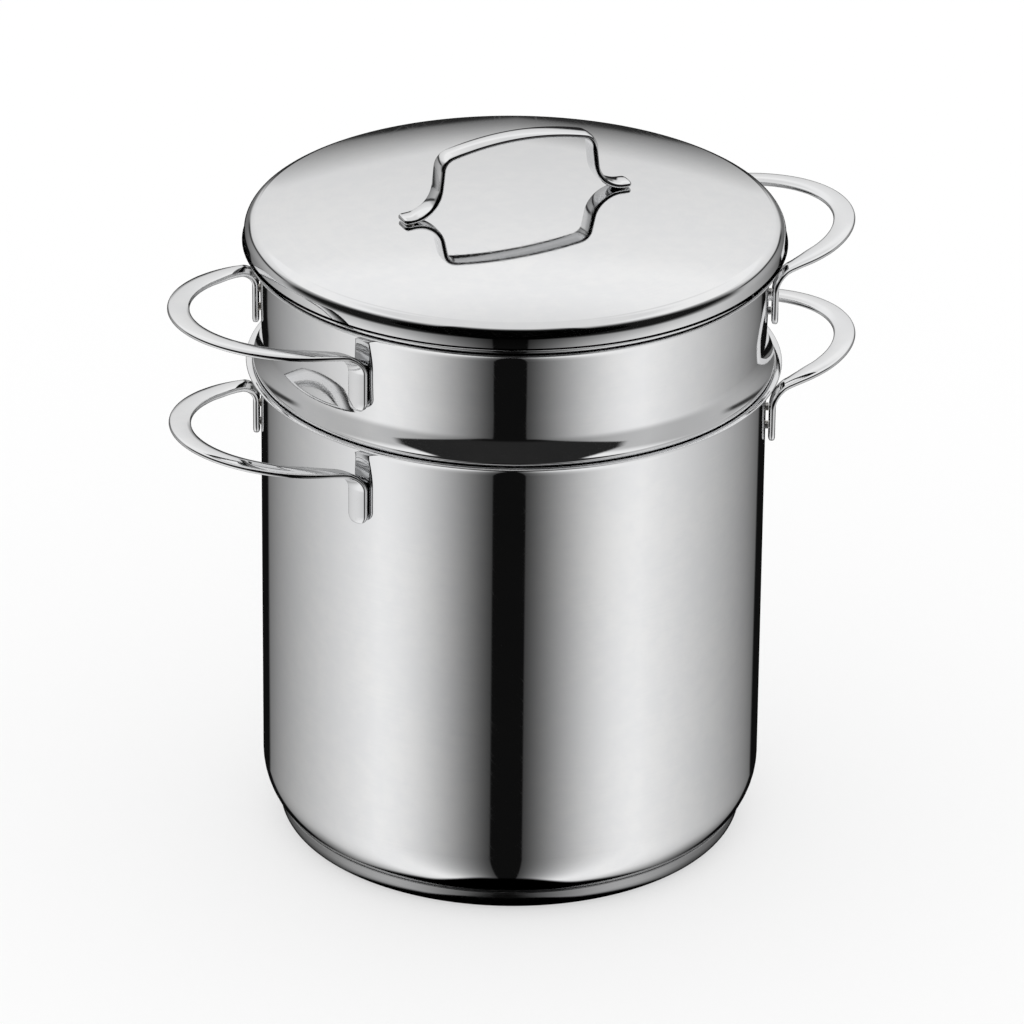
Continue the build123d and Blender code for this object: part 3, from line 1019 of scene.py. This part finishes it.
@dataclass(frozen=True)
class Tent:
    """Light tent round the pot: two glowing sides, a ceiling and a dark opening in front.

    Angles are in degrees. Bearings count from the middle of the opening, heights from level. A
    span is the stretch of bearing or height over which a tone changes.
    """

    azimuth: float = CAMERA_AZIMUTH
    middle: float = -1.5
    side_peak: float = 1.12
    side_bearing: float = 62.0
    side_fall: float = 150.0
    side_rest: float = 0.15
    side_power: float = 1.8
    low_height: float = 26
    low_pull: float = 0.7
    dim: float = 0.42
    dim_heights: Span = (-22, -2)
    dim_bearings: Span = (70, 125)

    ceiling_tone: float = 0.84
    ceiling_steps: tuple[Step, Step] = ((14, 29, 0.18), (29, 33, 0.11))
    ceiling_fall: float = 0.21
    ceiling_edge: Span = (30, 42)
    ceiling_drop: Step = (85, 140, 28)
    ceiling_back: tuple[Span, Span] = ((35, 41), (155, 172))
    ceiling_top: Span = (52, 64)

    opening_width: float = 12
    opening_steps: tuple[Step, Step] = ((-15, 15, 38), (27, 45, 12))
    opening_soft: Span = (-3, 3)
    opening_foot: Span = (-17, -14)
    opening_top: Span = (54, 74)
    slit: float = 7.4
    slit_soft: float = 0.4
    slit_foot: Span = (-16, -10)
    below_heights: Span = (-86, -80)
    shade: float = 0.006
    gap_shade: float = 0.018
    gap_shade_heights: Span = (-12, -4)

    line_height: float = 10.5
    line_drop: Step = (128, 145, 3)
    line_soft: Span = (1, 6)
    line_ends: tuple[Span, Span] = ((100, 112), (150, 158))
    line_dark: float = 0.94

    edge_reach: float = 7.0
    edge_slope: float = 0.78
    edge_lift: float = 0.4
    edge_heights: Span = (8.0, 8.6)
    edge_glow: Step = (8.3, 13.5, 0.74)
    edge_least: float = 0.26
    back_lean: Step = (-22, -6, 18)
    back_bearings: Span = (149, 153)
    back_heights: Span = (-52, -40)

    gap_top: float = 61
    gap_top_drops: tuple[Step, ...] = ((0, 45, 7), (45, 70, 10), (70, 110, 29))
    gap_foot: float = 18
    gap_foot_rises: tuple[Step, ...] = ((20, 60, 2), (60, 110, 18))
    gap_foot_soft: Span = (-18, 16)
    gap_top_soft: Span = (-14, 14)
    gap_end: Span = (98, 112)
    gap_share: float = 0.98
    card_distance: float = 6.0
    card_reach: float = 140
    card_heights: Span = (-30, 70)
    card_steps: int = 48
    card_rows: int = 14

    foot_start: float = 60.0
    foot_inner: float = 85.0
    foot_outer: float = 103.0
    foot_side: float = 7.0
    foot_dark: float = 106.0
    foot_reach: float = 118.0
    foot_lift: float = 0.3
    foot_steps: int = 96
    foot_front: Span = (38, 56)
    foot_bends: tuple[Step, Step] = ((4, 22, 9), (22, 45, 4))
    foot_soft: Span = (-1.5, 1.5)
    foot_sides: Span = (40, 60)

    def angles(self, graph: Graph, way: Wire, middle: float) -> tuple[Wire, Wire]:
        """Bearing and height of a direction.

        Args:
            graph: Graph that the nodes go into.
            way: The direction.
            middle: Bearing that is counted from.

        Returns:
            Bearing and height.
        """
        x, y, z = graph.axes(way)
        turn = math.radians(self.azimuth + middle)
        level = x * math.cos(turn) + y * math.sin(turn)
        toward = x * math.sin(turn) - y * math.cos(turn)
        bearing = (level.math("ARCTAN2", toward) * math.degrees(1)).math("ABSOLUTE")
        return bearing, z.math("ARCSINE") * math.degrees(1)

    def glow(self, graph: Graph, way: Wire) -> Wire:
        """Radiance of the tent in a direction."""
        bearing, height = self.angles(graph, way, self.middle)
        side = self.sides(bearing, height)
        low, high, drop = self.ceiling_drop
        above = (height + bearing.ramp(low, high) * drop).ramp(*self.ceiling_edge)
        lit = side + above * (self.ceiling(bearing, height) - side)
        slit = 1 - bearing.ramp(self.slit - self.slit_soft, self.slit + self.slit_soft)
        slit = slit * (1 - height.ramp(*self.slit_foot))
        below = 1 - height.ramp(*self.below_heights)
        rest = height.ramp(*self.gap_shade_heights) * self.gap_shade + self.shade
        lit = lit * (1 - self.opening(bearing, height)) * (1 - slit) * (1 - below)
        return lit * (1 - self.behind(graph, way, height)) * (1 - self.line(bearing, height)) + rest

    def sides(self, bearing: Wire, height: Wire) -> Wire:
        """Glow of the two sides."""
        quarter = math.pi / 2 / self.side_bearing
        rise = (bearing.math("MINIMUM", self.side_bearing) * quarter).math("SINE")
        low = (height + self.low_height).math("MINIMUM", 0.0) * self.low_pull
        fall = 1 - (bearing + low).share(self.side_bearing, self.side_fall) * (1 - self.side_rest)
        dimmer = 1 - height.ramp(*self.dim_heights) * (1 - bearing.ramp(*self.dim_bearings)) * self.dim
        return rise.math("POWER", self.side_power) * fall * dimmer * self.side_peak

    def ceiling(self, bearing: Wire, height: Wire) -> Wire:
        """Glow of the ceiling, darker at its top and at the back."""
        heights, bearings = self.ceiling_back
        back = height.ramp(*heights) * bearing.ramp(*bearings)
        falling = 1 - (1 - back) * (1 - height.ramp(*self.ceiling_top))
        (low, high, first), (start, stop, second) = self.ceiling_steps
        rise = height.share(low, high) * first + height.ramp(start, stop) * second
        return rise - falling * self.ceiling_fall + self.ceiling_tone

    def opening(self, bearing: Wire, height: Wire) -> Wire:
        """Share of the dark opening in front, which widens and narrows with height."""
        (low, high, wider), (start, stop, narrower) = self.opening_steps
        width = height.share(low, high) * wider + self.opening_width
        width = width - height.share(start, stop) * narrower
        inside = 1 - (bearing - width).ramp(*self.opening_soft)
        return inside * height.ramp(*self.opening_foot) * (1 - height.ramp(*self.opening_top))

    def line(self, bearing: Wire, height: Wire) -> Wire:
        """Share of the thin dark line along the sides."""
        low, high, drop = self.line_drop
        line = height - self.line_height + bearing.ramp(low, high) * drop
        line = 1 - line.math("ABSOLUTE").ramp(*self.line_soft)
        first, last = self.line_ends
        return line * bearing.ramp(*first) * (1 - bearing.ramp(*last)) * self.line_dark

    def behind(self, graph: Graph, way: Wire, height: Wire) -> Wire:
        """Share of the dark back of the tent, less the lit edge above it."""
        turned_away, _ = self.angles(graph, way, 0.0)
        near = (180 - turned_away).math("MINIMUM", self.edge_reach)
        over = height - near * self.edge_slope + self.edge_lift
        low, high, glow = self.edge_glow
        far_edge = over.ramp(*self.edge_heights) * (over.share(low, high) * glow + self.edge_least)
        low, high, lean = self.back_lean
        back = (turned_away - height.share(low, high) * lean).ramp(*self.back_bearings)
        return back * height.ramp(*self.back_heights) * (1 - far_edge)

    def wide_gap(self, graph: Graph, way: Wire) -> Wire:
        """Share of the wider gap between sides and ceiling that the lid was lit with."""
        bearing, height = self.angles(graph, way, self.middle)
        top: Any = self.gap_top
        for low, high, drop in self.gap_top_drops:
            top = top - bearing.share(low, high) * drop
        foot = sum(bearing.share(low, high) * rise for low, high, rise in self.gap_foot_rises)
        share = (height - (foot - self.gap_foot)).ramp(*self.gap_foot_soft)
        share = share * (1 - (height - top).ramp(*self.gap_top_soft))
        return share * (1 - bearing.ramp(*self.gap_end)) * self.gap_share

    def card(self, unlit: Sequence[bpy.types.Object]) -> None:
        """Hangs a card that lights everything but some pieces, which mirror it dark.

        Args:
            unlit: Pieces that the card doesn't light.
        """
        steps, rows = self.card_steps, self.card_rows
        low, high = self.card_heights
        points = []
        for j in range(rows + 1):
            height = math.radians(low + (high - low) * j / rows)
            flat, up = math.cos(height) * self.card_distance, math.sin(height) * self.card_distance
            for i in range(steps + 1):
                turn = math.radians(self.azimuth - 90 - self.card_reach + 2 * self.card_reach * i / steps)
                points.append((flat * math.cos(turn), flat * math.sin(turn), up))
        corners = (0, 1, steps + 2, steps + 1)
        starts = [j * (steps + 1) + i for j in range(rows) for i in range(steps)]
        faces = [[first + corner for corner in corners] for first in starts]
        material, graph = new_material("studio_card")
        material.cycles.emission_sampling = "NONE"
        place = graph.node("ShaderNodeTexCoord", {}, {}, "Object")
        way = graph.node("ShaderNodeVectorMath", {"operation": "NORMALIZE"}, [place])
        light = graph.node("ShaderNodeEmission", {}, {"Color": self.glow(graph, way)})
        clear = graph.node("ShaderNodeBsdfTransparent", {}, {})
        graph.mixed_surface(self.wide_gap(graph, way), clear, light)
        item = stage_object("studio_card", points, faces, material)
        self.mirrored_only(item)
        group = bpy.data.collections.new("card_unlit")
        for piece in unlit:
            group.objects.link(piece)
        for entry in group.collection_objects:
            entry.light_linking.link_state = "EXCLUDE"
        item.light_linking.receiver_collection = group

    def mirrored_only(self, item: bpy.types.Object) -> None:
        """Leaves an object visible to mirror surfaces alone."""
        for kind in ("camera", "diffuse", "shadow", "transmission", "volume_scatter"):
            setattr(item, f"visible_{kind}", False)

    def foot_shade(self) -> None:
        """Lays the shade that the pot mirrors on the floor round its own foot."""
        steps = self.foot_steps
        ways = [turned(360 * i / steps) for i in range(steps)]
        radii = (self.foot_start, self.foot_reach)
        points = [(way.x * r * MM, way.y * r * MM, self.foot_lift * MM) for r in radii for way in ways]
        faces = [[i, (i + 1) % steps, steps + (i + 1) % steps, steps + i] for i in range(steps)]
        material, graph = new_material("foot_shade")
        place = graph.node("ShaderNodeTexCoord", {}, {}, "Object")
        radius = graph.node("ShaderNodeVectorMath", {"operation": "LENGTH"}, [place], "Value") / MM
        way = graph.node("ShaderNodeVectorMath", {"operation": "NORMALIZE"}, [place])
        bearing, _ = self.angles(graph, way, self.middle)
        front = 1 - bearing.ramp(*self.foot_front)
        (low, high, near), (start, stop, far) = self.foot_bends
        edge = radius - self.foot_dark + bearing.ramp(low, high) * near + bearing.share(start, stop) * far
        outer = bearing.ramp(*self.foot_sides) * self.foot_side + self.foot_outer
        clear = radius.ramp(self.foot_inner, outer) * (1 - front * (1 - edge.ramp(*self.foot_soft)))
        dark = graph.node("ShaderNodeEmission", {}, {"Color": (0, 0, 0, 1)})
        nothing = graph.node("ShaderNodeBsdfTransparent", {}, {})
        graph.mixed_surface(clear, dark, nothing)
        item = stage_object("foot_shade", points, faces, material)
        self.mirrored_only(item)


@dataclass
class Studio:
    """Pale floor, soft surroundings and the camera."""

    tent: Tent = field(default_factory=Tent)
    plain_light: float = 1.12
    azimuth: float = CAMERA_AZIMUTH
    elevation: float = 25.74
    roll: float = 0.56
    distance: float = 2916.7
    focal_pixels: float = 7246.1
    frame_pixels: float = 1024.0
    target_right: float = -0.17
    target_height: float = 131.7
    sensor_width: float = 36.0
    view_reach: float = 100.0
    floor_reach: float = 20
    paper: float = 0.9
    floor_glow: float = 0.55

    def camera(self) -> None:
        """Stands the camera where the photograph was taken from."""
        turn, tip, roll = (math.radians(a) for a in (self.azimuth, self.elevation, self.roll))
        level = Vector((math.cos(turn), math.sin(turn), 0))
        back = Vector((math.sin(turn) * math.cos(tip), -math.cos(turn) * math.cos(tip), math.sin(tip)))
        up = back.cross(level)
        right = level * math.cos(roll) + up * math.sin(roll)
        above = up * math.cos(roll) - level * math.sin(roll)
        target = level * self.target_right + Vector((0, 0, self.target_height))
        data = bpy.data.cameras.new("camera")
        data.sensor_width = self.sensor_width
        data.lens = self.focal_pixels / self.frame_pixels * data.sensor_width
        data.clip_end = self.view_reach
        item = linked("camera", data)
        place = (target + back * self.distance) * MM
        item.matrix_world = Matrix.Translation(place) @ Matrix((right, above, back)).transposed().to_4x4()
        bpy.context.scene.camera = item

    def floor(self) -> None:
        """Lays the pale floor."""
        far = self.floor_reach
        points = [(-far, -far, 0), (far, -far, 0), (far, far, 0), (-far, far, 0)]
        material, graph = new_material("floor")
        paper = graph.node("ShaderNodeBsdfDiffuse", {}, {"Color": (self.paper, self.paper, self.paper, 1)})
        light = graph.node("ShaderNodeEmission", {}, {"Color": (1, 1, 1, 1)})
        graph.mixed_surface(self.floor_glow, paper, light)
        item = stage_object("floor", points, [[0, 1, 2, 3]], material)
        item.visible_glossy = False

    def world(self) -> None:
        """Lights the scene: mirror surfaces see the tent, everything else plain soft light."""
        world = bpy.data.worlds.new("studio")
        world.use_nodes = True
        bpy.context.scene.world = world
        graph = Graph(world.node_tree)
        way = graph.node("ShaderNodeTexCoord", {}, {}, "Generated")
        glow = self.tent.glow(graph, way)
        mirrored = graph.node("ShaderNodeLightPath", {}, {}, "Is Glossy Ray")
        level = self.plain_light + mirrored * (glow - self.plain_light)
        shader = graph.node("ShaderNodeBackground", {}, {"Color": level})
        graph.node("ShaderNodeOutputWorld", {}, {"Surface": shader})

    def build(self) -> None:
        """Sets up everything round the pot."""
        self.camera()
        self.floor()
        self.world()
        bpy.context.scene.view_settings.view_transform = "Standard"


FINISHES = {
    Slot.POLISHED: Metal("mirror_sheet"),
    # The base dish's low grey is partly its duller finish and partly painted shade: it darkens the dish as if
    # it mirrored the shaded floor round the pot's foot.
    Slot.BASE: Metal(
        "base_dish_painted_shade", grey=0.32, roughness=0.16, cloud=0.10, line_depth=4.0e-6, line_pitch=1600.0,
        # The foot share adds wear scratches and darkens the bottom of the dish with painted shade.
        line_haze=0.12, scratch_haze=0.15, foot_wear_and_shade=1.0,
    ),
    Slot.INNER: Metal(
        "inner_sheet", grey=0.66, roughness=0.20, cloud=0.10, line_depth=3.0e-6, line_pitch=2200.0,
        line_haze=0.10,
    ),
    Slot.STRIP: Metal("polished_strip", line_depth=0.8e-6, line_pitch=4000.0, scratch_haze=0.2),
    Slot.STUD: Metal(
        "weld_stud", grey=0.62, roughness=0.28, cloud=0.16, line_depth=6.0e-6, line_pitch=2600.0,
        line_haze=0.10, heat=0.45,
    ),
    Slot.CORE: Metal(
        "cast_core", grey=0.78, roughness=0.42, cloud=0.20, line_depth=2.0e-5, line_pitch=900.0,
        line_haze=0.10,
    ),
}


@cache
def finish(slot: Slot, lay: Lay) -> bpy.types.Material:
    """Material of a slot for one way of the polish lines, made once."""
    return FINISHES[slot].make(lay)


def dress(pieces: list[Piece]) -> None:
    """Gives each piece and each node that stays its finish."""
    for piece in pieces:
        piece.item.data.materials.clear()
        piece.item.data.materials.append(finish(piece.slot, piece.lay))
    slots = {part["node"]: Slot(part["material_slot"]) for part in frame["record"]["subparts"]}
    stood_for = {piece.node for piece in pieces}
    for node, item in frame["nodes"].items():
        if node not in stood_for:
            for place in item.material_slots:
                place.material = finish(slots[node], Lay.WALL)
            log.info("%s keeps its solid and gets the finish of %s", node, slots[node].value)


def main() -> None:
    """Builds the scene."""
    logging.basicConfig(level=logging.INFO, format="%(message)s")
    studio = Studio()
    studio.build()
    pieces = Pot().build() + Strainer().build() + Lid().build()
    for piece in pieces:
        piece.settle()
    studio.tent.card([piece.item for piece in pieces if piece.body is Body.LID or piece.slot is Slot.STRIP])
    studio.tent.foot_shade()
    dress(pieces)


if __name__ == "__main__":
    main()
